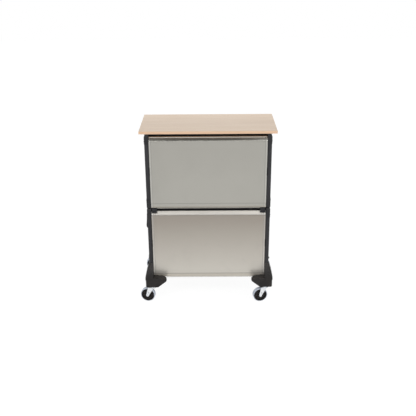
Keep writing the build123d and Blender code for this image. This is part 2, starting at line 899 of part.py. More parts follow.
def axle(name):
    """An axle bolt through fork and wheel, with a round head and a hexagon nut."""
    upright = caster_planes(name)[1]
    with BuildPart() as part:
        with BuildSketch(upright.offset(-fork_outside - axle_head)):
            with Locations((caster_trail, wheel_radius)):
                Circle(axle_head_radius)
        extrude(amount=axle_head)
        with BuildSketch(upright.offset(-fork_outside)):
            with Locations((caster_trail, wheel_radius)):
                Circle(axle_radius)
        extrude(amount=2 * fork_outside + axle_head + axle_overhang)
        with BuildSketch(upright.offset(fork_outside)):
            with Locations((caster_trail, wheel_radius)):
                RegularPolygon(axle_head_radius, 6)
        extrude(amount=axle_head)
    return part


def brake_pedal(name):
    """A stirrup shaped brake pedal: a pad over the tyre, and an arm down each side of the fork to a pivot."""
    upright = caster_planes(name)[1]
    arm_inside = fork_outside + pedal_gap
    with BuildPart() as part:
        with BuildSketch(upright.offset(-arm_inside - pedal_arm)):
            with BuildLine():
                Polyline(
                    (pedal_inner_back, pedal_top),
                    (pedal_outer_back, pedal_top),
                    (pedal_outer_back, pedal_bottom),
                    (pedal_inner_back, pedal_bottom),
                    close=True,
                )
            make_face()
            with Locations((caster_trail, wheel_radius)):
                Circle(wheel_radius + pedal_tyre_gap, mode=Mode.SUBTRACT)
        extrude(amount=2 * (arm_inside + pedal_arm))
        for side in (-1, 1):
            start = arm_inside if side > 0 else -arm_inside - pedal_arm
            with BuildSketch(upright.offset(start)):
                with BuildLine():
                    Polyline(
                        (pedal_pivot_back, pedal_pivot_height - pedal_eye_radius),
                        (pedal_outer_back, pedal_bottom),
                        (pedal_outer_back, pedal_top),
                        (pedal_inner_back, pedal_top),
                        (pedal_pivot_back, pedal_pivot_height + pedal_eye_radius),
                        close=True,
                    )
                make_face()
                with Locations((pedal_pivot_back, pedal_pivot_height)):
                    Circle(pedal_eye_radius)
                    Circle(pedal_pivot_radius + running_fit, mode=Mode.SUBTRACT)
            extrude(amount=pedal_arm)
    return part


for name, (toward_x, toward_y, turn) in corners.items():
    braked = toward_y > 0
    write(fork(name, braked), f"{name}_fork")
    write(wheel_core(name), f"{name}_wheel_core")
    write(tyre(name), f"{name}_tyre")
    write(axle(name), f"{name}_axle")
    if braked:
        write(brake_pedal(name), f"{name}_brake_pedal")
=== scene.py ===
"""Looks of the tool cart: materials, small fittings, soft studio light and the camera.

Metres, but millimetres in the small fittings. +Z is up and the closed rear of the cart faces -Y.
"""

import json
import math

import bmesh
import bpy
from mathutils import Matrix, Vector


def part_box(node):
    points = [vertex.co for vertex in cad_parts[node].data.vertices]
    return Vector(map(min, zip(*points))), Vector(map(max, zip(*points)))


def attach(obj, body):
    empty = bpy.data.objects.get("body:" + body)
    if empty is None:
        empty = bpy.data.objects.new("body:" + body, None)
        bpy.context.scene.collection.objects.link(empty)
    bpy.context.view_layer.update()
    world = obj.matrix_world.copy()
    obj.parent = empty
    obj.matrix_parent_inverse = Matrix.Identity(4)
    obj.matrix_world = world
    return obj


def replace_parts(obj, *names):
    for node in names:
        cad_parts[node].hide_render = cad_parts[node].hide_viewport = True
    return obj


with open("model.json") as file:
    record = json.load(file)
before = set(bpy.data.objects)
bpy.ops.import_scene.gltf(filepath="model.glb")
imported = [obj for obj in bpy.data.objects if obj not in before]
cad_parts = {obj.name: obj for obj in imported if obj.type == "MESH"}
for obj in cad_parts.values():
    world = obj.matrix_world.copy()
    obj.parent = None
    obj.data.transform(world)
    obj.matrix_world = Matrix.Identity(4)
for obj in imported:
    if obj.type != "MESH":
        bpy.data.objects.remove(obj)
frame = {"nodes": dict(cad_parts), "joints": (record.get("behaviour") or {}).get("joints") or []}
nodes = frame["nodes"]
joints = {joint["name"]: joint for joint in frame["joints"]}
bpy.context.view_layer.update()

MODULES = ("lower", "upper")
DRAWERS = ("lower_bottom", "lower_top", "upper_bottom", "upper_top")
CASTERS = ("rear_left", "front_left", "rear_right", "front_right")
BRAKED_CASTERS = ("front_left", "front_right")


# Shader graphs


class Graph:
    """One procedural material, with short calls for the nodes that it needs."""

    def __init__(self, name, colour, metallic=0.0, roughness=0.5, **sockets):
        self.material = bpy.data.materials.new(name)
        self.material.use_nodes = True
        self.tree = self.material.node_tree
        self.shader = self.tree.nodes["Principled BSDF"]
        self.coords = self.tree.nodes.new("ShaderNodeTexCoord")
        self.shader.inputs["Base Color"].default_value = (*colour, 1)
        self.shader.inputs["Metallic"].default_value = metallic
        self.shader.inputs["Roughness"].default_value = roughness
        for socket, value in sockets.items():
            self.shader.inputs[socket.replace("_", " ")].default_value = value
        self.material.diffuse_color = (*colour, 1)

    def node(self, kind, **values):
        made = self.tree.nodes.new(kind)
        for key, value in values.items():
            setattr(made, key, value)
        return made

    def link(self, source, target):
        self.tree.links.new(source, target)

    def place(self, scale):
        """Object coordinates, scaled alike on all axes by one number or each by its own."""
        mapping = self.node("ShaderNodeMapping")
        mapping.inputs["Scale"].default_value = (scale,) * 3 if isinstance(scale, (int, float)) else scale
        self.link(self.coords.outputs["Object"], mapping.inputs["Vector"])
        return mapping.outputs["Vector"]

    def noise(self, scale, detail=3.0, rough=0.55, distortion=0.0):
        made = self.node("ShaderNodeTexNoise")
        made.inputs["Scale"].default_value = 1.0
        made.inputs["Detail"].default_value = detail
        made.inputs["Roughness"].default_value = rough
        made.inputs["Distortion"].default_value = distortion
        self.link(self.place(scale), made.inputs["Vector"])
        return made.outputs["Fac"]

    def cells(self, scale, output="Distance"):
        made = self.node("ShaderNodeTexVoronoi", feature="F1")
        made.inputs["Scale"].default_value = 1.0
        self.link(self.place(scale), made.inputs["Vector"])
        return made.outputs[output]

    def axis(self, letter, output="Object"):
        """One object coordinate, in metres, or one component of the object's own normal."""
        split = self.node("ShaderNodeSeparateXYZ")
        self.link(self.coords.outputs[output], split.inputs["Vector"])
        return split.outputs[letter]

    def spread(self, value, low, high, start=0.0, end=1.0, smooth=True):
        """value from low..high to start..end, clamped."""
        made = self.node("ShaderNodeMapRange", interpolation_type="SMOOTHSTEP" if smooth else "LINEAR")
        for key, number in (("From Min", low), ("From Max", high), ("To Min", start), ("To Max", end)):
            made.inputs[key].default_value = number
        self.link(value, made.inputs["Value"])
        return made.outputs["Result"]

    def math(self, operation, first, second=None):
        made = self.node("ShaderNodeMath", operation=operation)
        for socket, value in zip(made.inputs, (first, second)):
            if isinstance(value, (int, float)):
                socket.default_value = value
            elif value is not None:
                self.link(value, socket)
        return made.outputs["Value"]

    def weighted(self, first, first_share, second, second_share):
        """The sum of two values, each times its share."""
        first_part = self.math("MULTIPLY", first, first_share)
        second_part = self.math("MULTIPLY", second, second_share)
        return self.math("ADD", first_part, second_part)

    def mix(self, factor, first, second, blend="MIX"):
        """Two colours, each a tuple or a socket, mixed by a number or a socket."""
        made = self.node("ShaderNodeMix", data_type="RGBA", blend_type=blend)
        factor_input, first_input, second_input = made.inputs[0], made.inputs[6], made.inputs[7]
        for socket, value in ((factor_input, factor), (first_input, first), (second_input, second)):
            if isinstance(value, (int, float)):
                socket.default_value = value
            elif isinstance(value, tuple):
                socket.default_value = (*value, 1)
            else:
                self.link(value, socket)
        return made.outputs[2]

    def colour(self, source):
        self.link(source, self.shader.inputs["Base Color"])

    def rough(self, value, low, high, start=0.35, end=0.65):
        """Roughness from low to high, as value goes from start to end."""
        self.link(self.spread(value, start, end, low, high, False), self.shader.inputs["Roughness"])

    def bump(self, height, distance, strength=1.0, under=None):
        made = self.node("ShaderNodeBump")
        made.inputs["Strength"].default_value = strength
        made.inputs["Distance"].default_value = distance
        self.link(height, made.inputs["Height"])
        if under is not None:
            self.link(under, made.inputs["Normal"])
        return made.outputs["Normal"]

    def rounded(self, radius):
        """A normal that softens sharp edges a little, as real edges are."""
        made = self.node("ShaderNodeBevel", samples=4)
        made.inputs["Radius"].default_value = radius
        return made.outputs["Normal"]

    def normal(self, source):
        self.link(source, self.shader.inputs["Normal"])


def times(colour, factor):
    """A colour made darker or lighter, no lighter than white."""
    return tuple(min(1, factor * channel) for channel in colour)


# Kinds of material


def beech(name):
    """Light beech with fine growth lines and short dark flecks, more orange on its cut edges. Its top has
    painted light that makes it lighter towards the far edge, and its underside has painted shade.
    """
    plain, pale, deep = (0.66, 0.51, 0.38), (0.665, 0.525, 0.40), (0.635, 0.495, 0.37)
    growth_line, light_fibre, dark_fleck = (0.57, 0.43, 0.31), (0.71, 0.585, 0.46), (0.42, 0.27, 0.17)
    edge_light, edge_deep, edge_band = (0.74, 0.50, 0.335), (0.66, 0.43, 0.28), (0.78, 0.57, 0.41)
    # Painted shade for the underside, and painted light that lightens the top towards the far edge
    underside, painted_far_light = (0.46, 0.28, 0.17), (1.18, 1.19, 1.20)
    painted_far_light_from, painted_far_light_to = -0.03, 0.19
    edge_radius, pore_depth = 0.0012, 0.00012

    g = Graph(name, plain, roughness=0.42, Specular_IOR_Level=0.4, Coat_Weight=0.08, Coat_Roughness=0.3)
    broad = g.noise((0.9, 11, 11), detail=4, rough=0.6, distortion=0.6)
    lines = g.noise((2.4, 120, 120), detail=4, rough=0.6, distortion=1.2)
    fibre = g.noise((26, 1500, 1500), detail=2, rough=0.6)
    flecks = g.noise((210, 2300, 2300), detail=1, rough=0.5)

    face = g.mix(g.spread(broad, 0.36, 0.66), pale, deep)
    face = g.mix(g.spread(lines, 0.42, 0.70, 0, 0.5), face, growth_line)
    face = g.mix(g.spread(fibre, 0.40, 0.70, 0, 0.35), face, light_fibre)
    face = g.mix(g.spread(flecks, 0.66, 0.74, 0, 0.6), face, dark_fleck)
    # Painted light: the top grows lighter towards the far edge
    face = g.mix(g.spread(g.axis("Y"), painted_far_light_from, painted_far_light_to), face, painted_far_light, "MULTIPLY")
    edge = g.mix(g.spread(fibre, 0.35, 0.7), edge_light, edge_deep)
    edge = g.mix(g.spread(broad, 0.4, 0.7, 0, 0.5), edge, edge_band)

    flatness = g.math("ABSOLUTE", g.axis("Z", "Normal"))
    # Painted shade: faces that look down take the darker underside colour
    below = g.spread(g.axis("Z", "Normal"), -0.9, -0.5, 1, 0)
    whole = g.mix(g.spread(flatness, 0.35, 0.9), edge, face)
    g.colour(g.mix(g.math("MULTIPLY", below, 0.55), whole, underside))
    g.rough(lines, 0.36, 0.52)
    height = g.weighted(fibre, 0.6, flecks, -0.5)
    g.normal(g.bump(height, pore_depth, strength=0.5, under=g.rounded(edge_radius)))
    return g.material


def drawn_black(name, scale, gloss=0.34, depth=1.0):
    """Black anodised aluminium with fine draw lines along its length.

    scale is how close the lines lie along each axis. A smaller depth is a deeper black.
    """
    plain, deep, pale = (0.018, 0.018, 0.020), (0.010, 0.010, 0.012), (0.022, 0.022, 0.025)
    hazy, dusty = (0.028, 0.028, 0.031), (0.10, 0.10, 0.10)
    edge_radius, line_depth = 0.0006, 0.00005

    g = Graph(name, times(plain, depth), roughness=0.36, Specular_IOR_Level=gloss)
    lines = g.noise(scale, detail=3, rough=0.6)
    cloud = g.noise((9, 9, 5), detail=3)
    dust = g.noise(420, detail=3)
    tone = g.mix(g.spread(lines, 0.36, 0.64), deep, pale)
    tone = g.mix(g.spread(cloud, 0.4, 0.7, 0, 0.4), tone, hazy)
    tone = g.mix(g.spread(dust, 0.68, 0.78, 0, 0.2), tone, dusty)
    g.colour(g.mix(1.0, tone, (depth, depth, depth), "MULTIPLY"))
    g.rough(g.weighted(lines, 0.5, cloud, 0.5), 0.3, 0.46)
    g.normal(g.bump(lines, line_depth, strength=0.5, under=g.rounded(edge_radius)))
    return g.material


def moulded(name, dark, light, grain, depth, low=0.42, high=0.6, worn=None, gloss=0.3):
    """Injection moulded plastic with a spark eroded grain.

    grain is the number of grains in a metre and depth is how deep they are. low and high are the range of
    the roughness, and worn is the colour of its rubbed edges.
    """
    edge_radius = 0.0008

    g = Graph(name, dark, roughness=(low + high) / 2, Specular_IOR_Level=gloss)
    fine = g.noise(grain, detail=3, rough=0.6)
    pits = g.cells(grain * 0.75)
    cloud = g.noise(24, detail=4, rough=0.6)
    tone = g.mix(g.spread(cloud, 0.36, 0.68), dark, light)
    tone = g.mix(g.spread(fine, 0.52, 0.74, 0, 0.45), tone, times(light, 1.9))
    if worn:
        edges = g.node("ShaderNodeNewGeometry").outputs["Pointiness"]
        tone = g.mix(g.spread(edges, 0.52, 0.60, 0, 0.55), tone, worn)
    g.colour(tone)
    g.rough(fine, low, high)
    height = g.weighted(fine, 1.0, pits, 0.8)
    g.normal(g.bump(height, depth, strength=0.8, under=g.rounded(edge_radius)))
    return g.material


def paler_downwards(g, cloud, tone, ramp):
    """The colour of a sheet with a painted reflection of the floor, which makes it lighter towards its
    bottom, and a painted highlight above the grip level.

    ramp is (low level, colour there, high level, colour there, grip level).
    """
    bottom, bottom_tone, top, top_tone, grip = ramp
    waver, grip_blend, lip_light_factor = 0.012, 0.002, 0.98

    wavering = g.spread(cloud, 0.3, 0.7, -waver, waver, False)
    height = g.math("ADD", g.axis("Z"), wavering)
    # Painted reflection of the pale floor: lighter towards the bottom
    base = g.mix(g.spread(height, bottom, top, smooth=False), bottom_tone, top_tone)
    # Painted highlight: above the grip level the lip takes a lighter tone
    return g.mix(g.spread(g.axis("Z"), grip, grip + grip_blend), base, times(tone, lip_light_factor))


def with_folds(g, base, deep, folds):
    """A sheet with painted shade along its folds, and a painted reflection that makes the strips outside
    the side folds a little paler.

    folds is (distance of the side folds from the middle, level of the bottom fold, or None without one).
    """
    side_fold, bottom_fold = folds
    painted_strip_light, strip_share = (0.80, 0.79, 0.77), 0.16
    strip_from, strip_full = side_fold - 0.0004, side_fold + 0.0006
    crease_full, crease_end, crease_share = 0.0006, 0.0022, 0.5

    sideways = g.math("ABSOLUTE", g.axis("X"))
    # Painted reflection: the strips outside the side folds are a little paler
    base = g.mix(g.spread(sideways, strip_from, strip_full, 0, strip_share), base, painted_strip_light)
    from_side_fold = g.math("ABSOLUTE", g.math("SUBTRACT", sideways, side_fold))
    # Painted shade along the folds
    fold_shade = g.spread(from_side_fold, crease_full, crease_end, 1, 0)
    if bottom_fold is not None:
        from_bottom_fold = g.math("ABSOLUTE", g.math("SUBTRACT", g.axis("Z"), bottom_fold))
        fold_shade = g.math("MAXIMUM", fold_shade, g.spread(from_bottom_fold, crease_full, crease_end, 1, 0))
    return g.mix(g.math("MULTIPLY", fold_shade, crease_share), base, times(deep, 0.5))


def with_band(g, base, start, end, factor):
    """A length between two levels made darker or lighter by a factor for each colour, to paint shade,
    highlights and reflections on the rear panels.
    """
    blend = 0.0006
    above_start = g.spread(g.axis("Z"), start, start + blend)
    below_end = g.spread(g.axis("Z"), end - blend, end, 1, 0)
    return g.mix(g.math("MULTIPLY", above_start, below_end), base, factor, "MULTIPLY")


def satin_sheet(name, tone, deep, metallic, low, high, ramp=None, folds=None, bands=()):
    """Satin coated sheet: a faint orange peel, a fine metallic sparkle and slow changes of tone.

    low and high are the range of the roughness. ramp, folds and bands are as in the three functions above.
    """
    sparkle_tone = (0.86, 0.86, 0.85)
    edge_radius, peel_depth = 0.0012, 0.00006

    g = Graph(name, tone, metallic=metallic, roughness=(low + high) / 2)
    cloud = g.noise((1.6, 1.6, 2.4), detail=3, rough=0.5)
    peel = g.noise(520, detail=2, rough=0.5)
    sparkle = g.noise(3600, detail=1, rough=0.5)
    handled = g.noise(14, detail=5, rough=0.65)
    if ramp:
        base = paler_downwards(g, cloud, tone, ramp)
    else:
        base = g.mix(g.spread(cloud, 0.35, 0.68), tone, deep)
    if folds:
        base = with_folds(g, base, deep, folds)
    for start, end, factor in bands:
        base = with_band(g, base, start, end, factor)
    base = g.mix(g.spread(sparkle, 0.56, 0.70, 0, 0.16), base, sparkle_tone)
    base = g.mix(g.spread(handled, 0.52, 0.72, 0, 0.10), base, times(deep, 0.78))
    g.colour(base)
    g.rough(handled, low, high, 0.3, 0.7)
    g.normal(g.bump(peel, peel_depth, strength=0.35, under=g.rounded(edge_radius)))
    return g.material


def plated(name, tone, tint, low, high, lines, metallic=0.9):
    """Plated steel: soft spangle, rolling marks and a slight bluish tint.

    low and high are the range of the roughness, and lines is how close the rolling marks lie, as a scale
    for place.
    """
    edge_radius, mark_depth = 0.0005, 0.00004

    g = Graph(name, tone, metallic=metallic, roughness=(low + high) / 2)
    spangle = g.node("ShaderNodeRGBToBW")
    g.link(g.cells(260, "Color"), spangle.inputs["Color"])
    marks = g.noise(lines, detail=3, rough=0.6)
    cloud = g.noise(30, detail=4, rough=0.6)
    zinc = g.mix(g.spread(cloud, 0.35, 0.68), tone, tint)
    zinc = g.mix(g.spread(spangle.outputs["Val"], 0.2, 0.8, 0, 0.22), zinc, times(tone, 0.8))
    g.colour(g.mix(g.spread(marks, 0.55, 0.75, 0, 0.35), zinc, times(tint, 0.62)))
    g.rough(g.weighted(marks, 0.6, cloud, 0.4), low, high)
    g.normal(g.bump(marks, mark_depth, strength=0.4, under=g.rounded(edge_radius)))
    return g.material


def rubber(name):
    """Pale bluish grey tyre rubber with a dusty tread."""
    plain, pale, deep = (0.56, 0.60, 0.68), (0.60, 0.645, 0.725), (0.50, 0.545, 0.63)
    dusty, dust_depth = (0.33, 0.33, 0.34), 0.00008

    g = Graph(name, plain, roughness=0.5, Specular_IOR_Level=0.45)
    cloud = g.noise(60, detail=4, rough=0.6)
    dust = g.noise(700, detail=4, rough=0.7)
    tone = g.mix(g.spread(cloud, 0.35, 0.68), pale, deep)
    g.colour(g.mix(g.spread(dust, 0.56, 0.74, 0, 0.35), tone, dusty))
    g.rough(cloud, 0.42, 0.62)
    g.normal(g.bump(dust, dust_depth, strength=0.5))
    return g.material


# Materials of the cart


def span(node, axis):
    """The lowest and the highest coordinate of a CAD node along an axis."""
    low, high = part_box(node)
    return low["XYZ".index(axis)], high["XYZ".index(axis)]


SIDE_STRIP = 0.009
SIDE_FOLD = span("lower_rear_panel", "X")[1] - SIDE_STRIP
FRONT_SIDE_FOLD = span("lower_top_front", "X")[1] - SIDE_STRIP


def upper_panel():
    """The upper rear panel: smooth metallic sheet with painted shade on its lip, a painted highlight below
    that, a painted reddish reflection of the beech along its top edge and painted shade on its bottom
    strip.
    """
    bottom, top = span("upper_rear_panel", "Z")
    bottom_fold = bottom + 0.022
    # Painted shade on the lip, a painted highlight on the nose below it, a painted reflection of the beech
    # on the top edge and painted shade on the bottom strip
    painted_lip_shade = (top - 0.0150, top - 0.0060, (0.68, 0.68, 0.68))
    painted_nose_highlight = (top - 0.0225, top - 0.0185, (1.3, 1.3, 1.3))
    painted_board_reflection = (top - 0.0033, top + 0.0012, (1.5, 1.12, 0.86))
    painted_strip_shade = (bottom - 0.003, bottom + 0.0075, (0.92, 0.88, 0.84))
    return satin_sheet(
        "upper_panel_satin",
        tone=(0.388, 0.379, 0.343),
        deep=(0.360, 0.350, 0.316),
        metallic=0.75,
        low=0.13,
        high=0.19,
        folds=(SIDE_FOLD, bottom_fold),
        bands=(painted_lip_shade, painted_nose_highlight, painted_board_reflection, painted_strip_shade),
    )


def lower_panel():
    """The lower rear panel: a painted reflection of the floor makes it lighter towards its bottom, with a
    painted highlight on its lip and painted shade under the lip, along its bottom fold and on its bottom
    strip.
    """
    bottom, top = span("lower_rear_panel", "Z")
    # The ramp's colours paint a reflection of the pale floor, lighter towards the bottom
    bottom_tone, top_tone = (0.565, 0.535, 0.48), (0.323, 0.288, 0.248)
    bottom_fold = bottom + 0.0185
    # Painted shade on the bottom strip, along the bottom fold and under the lip, and a painted highlight
    # on the lip
    painted_strip_shade = (bottom - 0.006, bottom + 0.0165, (0.90, 0.88, 0.85))
    painted_fold_shade = (bottom + 0.016, bottom + 0.021, (0.80, 0.80, 0.79))
    painted_shadow_under_lip = (top - 0.0228, top - 0.0178, (0.76, 0.76, 0.76))
    painted_lip_highlight = (top - 0.0142, top - 0.0006, (1.43, 1.43, 1.41))
    return satin_sheet(
        "lower_panel_satin",
        tone=(0.45, 0.43, 0.40),
        deep=(0.40, 0.385, 0.36),
        metallic=0.48,
        low=0.30,
        high=0.36,
        ramp=(bottom + 0.044, bottom_tone, top - 0.045, top_tone, top - 0.0185),
        folds=(SIDE_FOLD, bottom_fold),
        bands=(painted_strip_shade, painted_fold_shade, painted_shadow_under_lip, painted_lip_highlight),
    )


def plain_panel():
    """The drawer fronts, the kick strip and the side walls."""
    return satin_sheet(
        "panel_satin",
        tone=(0.45, 0.445, 0.42),
        deep=(0.41, 0.405, 0.38),
        metallic=0.55,
        low=0.34,
        high=0.46,
        folds=(FRONT_SIDE_FOLD, None),
    )


def foot_plastic():
    """The feet: coarse grained nylon, rubbed grey on its edges."""
    return moulded(
        "foot_nylon",
        dark=(0.009, 0.008, 0.0075),
        light=(0.019, 0.016, 0.0145),
        grain=620,
        depth=0.00022,
        low=0.36,
        high=0.58,
        worn=(0.040, 0.038, 0.036),
        gloss=0.28,
    )


MATERIALS = {
    "worktop": beech("beech"),
    "frame": drawn_black("anodised_upright", scale=(900, 900, 6), depth=1.2),
    # The cross rails are a deeper black, as painted shade under the worktop and in the joint between the
    # modules
    "frame_across_shaded": drawn_black("anodised_across_painted_shade", scale=(6, 900, 900), gloss=0.04, depth=0.3),
    "frame_along": drawn_black("anodised_along", scale=(900, 6, 900)),
    "corner_plastic": moulded(
        "corner_nylon", dark=(0.012, 0.012, 0.014), light=(0.021, 0.021, 0.023), grain=1500, depth=0.00008
    ),
    "panel": plain_panel(),
    "upper_panel": upper_panel(),
    "lower_panel": lower_panel(),
    "floor_sheet": satin_sheet(
        "floor_sheet", tone=(0.43, 0.43, 0.41), deep=(0.38, 0.38, 0.365), metallic=0.5, low=0.40, high=0.55
    ),
    "tray": satin_sheet(
        "tray_sheet", tone=(0.47, 0.47, 0.45), deep=(0.42, 0.42, 0.40), metallic=0.4, low=0.42, high=0.58
    ),
    "slide": plated(
        "slide_zinc",
        tone=(0.50, 0.51, 0.52),
        tint=(0.43, 0.45, 0.48),
        low=0.26,
        high=0.42,
        lines=(900, 8, 900),
    ),
    "zinc": plated(
        "caster_zinc",
        tone=(0.84, 0.85, 0.86),
        tint=(0.76, 0.79, 0.83),
        low=0.24,
        high=0.40,
        lines=(160, 160, 60),
    ),
    "clip": moulded(
        "clip_nylon",
        dark=(0.012, 0.012, 0.014),
        light=(0.020, 0.020, 0.022),
        grain=1400,
        depth=0.00007,
        gloss=0.2,
    ),
    "catch": moulded(
        "catch_nylon", dark=(0.012, 0.012, 0.014), light=(0.020, 0.020, 0.022), grain=1500, depth=0.00007
    ),
    "foot_plastic": foot_plastic(),
    "wheel_plastic": moulded(
        "wheel_nylon",
        dark=(0.013, 0.012, 0.012),
        light=(0.028, 0.022, 0.021),
        grain=900,
        depth=0.00010,
        low=0.40,
    ),
    "tyre": rubber("tyre_rubber"),
    "pedal_plastic": moulded(
        "pedal_nylon", dark=(0.014, 0.014, 0.017), light=(0.024, 0.024, 0.027), grain=1100, depth=0.00010
    ),
    # The bead is pale, as a painted highlight along the upper panel's lip
    "bead": satin_sheet(
        "bead_satin_painted_highlight", tone=(0.74, 0.71, 0.65), deep=(0.68, 0.65, 0.60), metallic=0.3, low=0.3, high=0.4
    ),
    "hem": satin_sheet(
        "hem_satin", tone=(0.45, 0.43, 0.39), deep=(0.42, 0.40, 0.36), metallic=0.4, low=0.3, high=0.4
    ),
    "screw": plated(
        "black_steel",
        tone=(0.09, 0.09, 0.095),
        tint=(0.06, 0.06, 0.065),
        low=0.28,
        high=0.45,
        lines=700,
        metallic=0.85,
    ),
}

FINISHES = {
    "worktop": "worktop",
    "_posts": "frame",
    "_cross_rails": "frame_across_shaded",
    "_side_rails": "frame_along",
    "_corner_blocks": "corner_plastic",
    "lower_rear_panel": "lower_panel",
    "upper_rear_panel": "upper_panel",
    "_front": "panel",
    "_side_walls": "panel",
    "kick_strip": "panel",
    "_floor": "floor_sheet",
    "_tray": "tray",
    "_rails": "slide",
    "module_clips": "clip",
    "panel_catches": "catch",
    "_foot": "foot_plastic",
    "_wheel_core": "wheel_plastic",
    "_tyre": "tyre",
    "_pedal": "pedal_plastic",
}


def finish_of(node):
    """The material of a CAD node, by the first ending in FINISHES that its name has."""
    for ending, finish in FINISHES.items():
        if node.endswith(ending):
            return finish
    return "zinc"


def coat(piece, material):
    """Gives a piece one material, in every slot that it has."""
    if not piece.material_slots:
        piece.data.materials.append(material)
    for held in piece.material_slots:
        held.material = material


for node_name, node_object in nodes.items():
    coat(node_object, MATERIALS[finish_of(node_name)])


# Ways to make small fittings, in millimetres


def millimetres(place):
    """A place in metres, given in millimetres to a hundredth."""
    return [round(1000 * value, 2) for value in place]


def corners_of(node):
    """The lowest and the highest corner of a CAD node, in millimetres."""
    low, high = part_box(node)
    return millimetres(low), millimetres(high)


def swivel_of(corner):
    """Where the swivel axis of a caster meets the underside of its bearing, in millimetres."""
    return millimetres(joints[corner + "_swivel"]["pos_m"])


def skin(mesh, loops, closed):
    """Joins loops of vertices into a skin, and joins the last to the first or closes both ends."""
    pairs = list(zip(loops, loops[1:]))
    if closed:
        pairs.append((loops[-1], loops[0]))
    else:
        mesh.faces.new(loops[0][::-1])
        mesh.faces.new(loops[-1])
    for below, above in pairs:
        for step, vertex in enumerate(below):
            after = (step + 1) % len(below)
            mesh.faces.new((vertex, below[after], above[after], above[step]))


def reach_of(shape, angle):
    """How far a ring reaches at an angle, as a share of its radius."""
    half_side = math.pi / 6
    middle_of_cross = 0.62
    if shape == "hex":
        return math.cos(half_side) / math.cos(angle % (2 * half_side) - half_side)
    if shape == "cross":
        return middle_of_cross + (1 - middle_of_cross) * math.cos(4 * angle)
    return 1.0


def lathe(mesh, rings, place, turn=Matrix.Identity(3), closed=False, steps=36):
    """Adds a turned body: rings of (radius, height, shape) along the local Z axis."""
    loops = []
    for radius, height, shape in rings:
        angles = [math.tau * step / steps for step in range(steps)]
        reaches = [radius * reach_of(shape, angle) for angle in angles]
        spots = [Vector((r * math.cos(a), r * math.sin(a), height)) for r, a in zip(reaches, angles)]
        loops.append([mesh.verts.new(Vector(place) + turn @ spot) for spot in spots])
    skin(mesh, loops, closed)


def round_rings(*sizes):
    """Rings for lathe that are all round, from (radius, height)."""
    return [(radius, height, "round") for radius, height in sizes]


def sweep(mesh, path, profile, closed=False):
    """Carries a closed profile of (across, up) along a path of (place, across direction, up direction)."""
    loops = []
    for place, across, up in path:
        spots = [Vector(place) + Vector(across) * a + Vector(up) * u for a, u in profile]
        loops.append([mesh.verts.new(spot) for spot in spots])
    skin(mesh, loops, closed)


def ease(mesh, offset):
    """Rounds the sharp edges of a small body."""
    sharp_from = math.radians(50)
    joining = [edge for edge in mesh.edges if len(edge.link_faces) == 2]
    sharp = [edge for edge in joining if edge.calc_face_angle() > sharp_from]
    bmesh.ops.bevel(mesh, geom=sharp, offset=offset, segments=3, profile=0.5, affect="EDGES")


def fitting(name, mesh, material, body):
    """Turns a bmesh in millimetres into a piece that rides on a body."""
    smooth_below = math.radians(36)
    millimetre = 0.001
    bmesh.ops.scale(mesh, vec=(millimetre,) * 3, verts=mesh.verts)
    bmesh.ops.recalc_face_normals(mesh, faces=mesh.faces)
    for face in mesh.faces:
        face.smooth = True
    for edge in mesh.edges:
        if len(edge.link_faces) == 2:
            edge.smooth = edge.calc_face_angle() < smooth_below
    data = bpy.data.meshes.new(name)
    mesh.to_mesh(data)
    mesh.free()
    made = bpy.data.objects.new(name, data)
    bpy.context.scene.collection.objects.link(made)
    coat(made, MATERIALS[material])
    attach(made, body)
    return made


# Small fittings, in millimetres

UP = Vector((0, 0, 1))
END_Y = corners_of("upper_corner_blocks")[1][1]
LEFTWARDS = Matrix.Rotation(-math.pi / 2, 3, "Y")
RIGHTWARDS = Matrix.Rotation(math.pi / 2, 3, "Y")

# The sign of x on each side, and the turns that lay a screw with its head outwards and inwards there
SIDES = ((-1, LEFTWARDS, RIGHTWARDS), (1, RIGHTWARDS, LEFTWARDS))

# Heads of screws, as rings for lathe
BUTTON_HEAD = [
    *round_rings((2.9, -0.4), (2.9, 0.35), (2.7, 0.85), (2.2, 1.25), (1.75, 1.45)),
    (1.45, 1.45, "hex"),
    (1.40, 0.35, "hex"),
    (0.4, 0.15, "round"),
]
PAN_HEAD = [
    *round_rings((3.4, -0.2), (3.4, 0.7), (3.0, 1.25), (2.3, 1.55)),
    (1.7, 1.6, "cross"),
    (1.1, 0.6, "cross"),
    (0.2, 0.5, "round"),
]
PIN_HEAD = round_rings((2.6, -0.6), (2.6, 0.5), (2.2, 0.9), (1.2, 1.0))


def add_corner_screws():
    """Socket screws through the corner blocks, but not where the feet cover them."""
    post_screw = {"from_face": 13, "from_end": 40}
    rail_screw = {"from_face": 40, "from_end": 11}
    screws = bmesh.new()
    for module in MODULES:
        (_, _, bottom), (side_x, end_y, top) = corners_of(module + "_corner_blocks")
        ends = [(top, -1)]
        if module == "upper":
            ends.append((bottom, 1))
        for end, inward in ends:
            for side, outward, _ in SIDES:
                for front in (-1, 1):
                    for screw in (post_screw, rail_screw):
                        y = front * (end_y - screw["from_face"])
                        z = end + inward * screw["from_end"]
                        lathe(screws, BUTTON_HEAD, (side * side_x, y, z), outward)
    fitting("corner_screws", screws, "screw", "carcass")


def add_rail_screws(drawer):
    """Pan heads inside a tray, which hold the inner channels of its slides."""
    tray_sheet = 1.2
    middle_y, pitch = 18, 106
    inner_face = corners_of(drawer + "_tray")[1][0] - tray_sheet
    (_, _, rail_bottom), (_, _, rail_top) = corners_of(drawer + "_inner_rails")
    level = (rail_bottom + rail_top) / 2
    heads = bmesh.new()
    for side, _, inward in SIDES:
        for y in (middle_y - pitch, middle_y, middle_y + pitch):
            lathe(heads, PAN_HEAD, (side * inner_face, y, level), inward)
    fitting(drawer + "_rail_screws", heads, "slide", drawer + "_drawer")


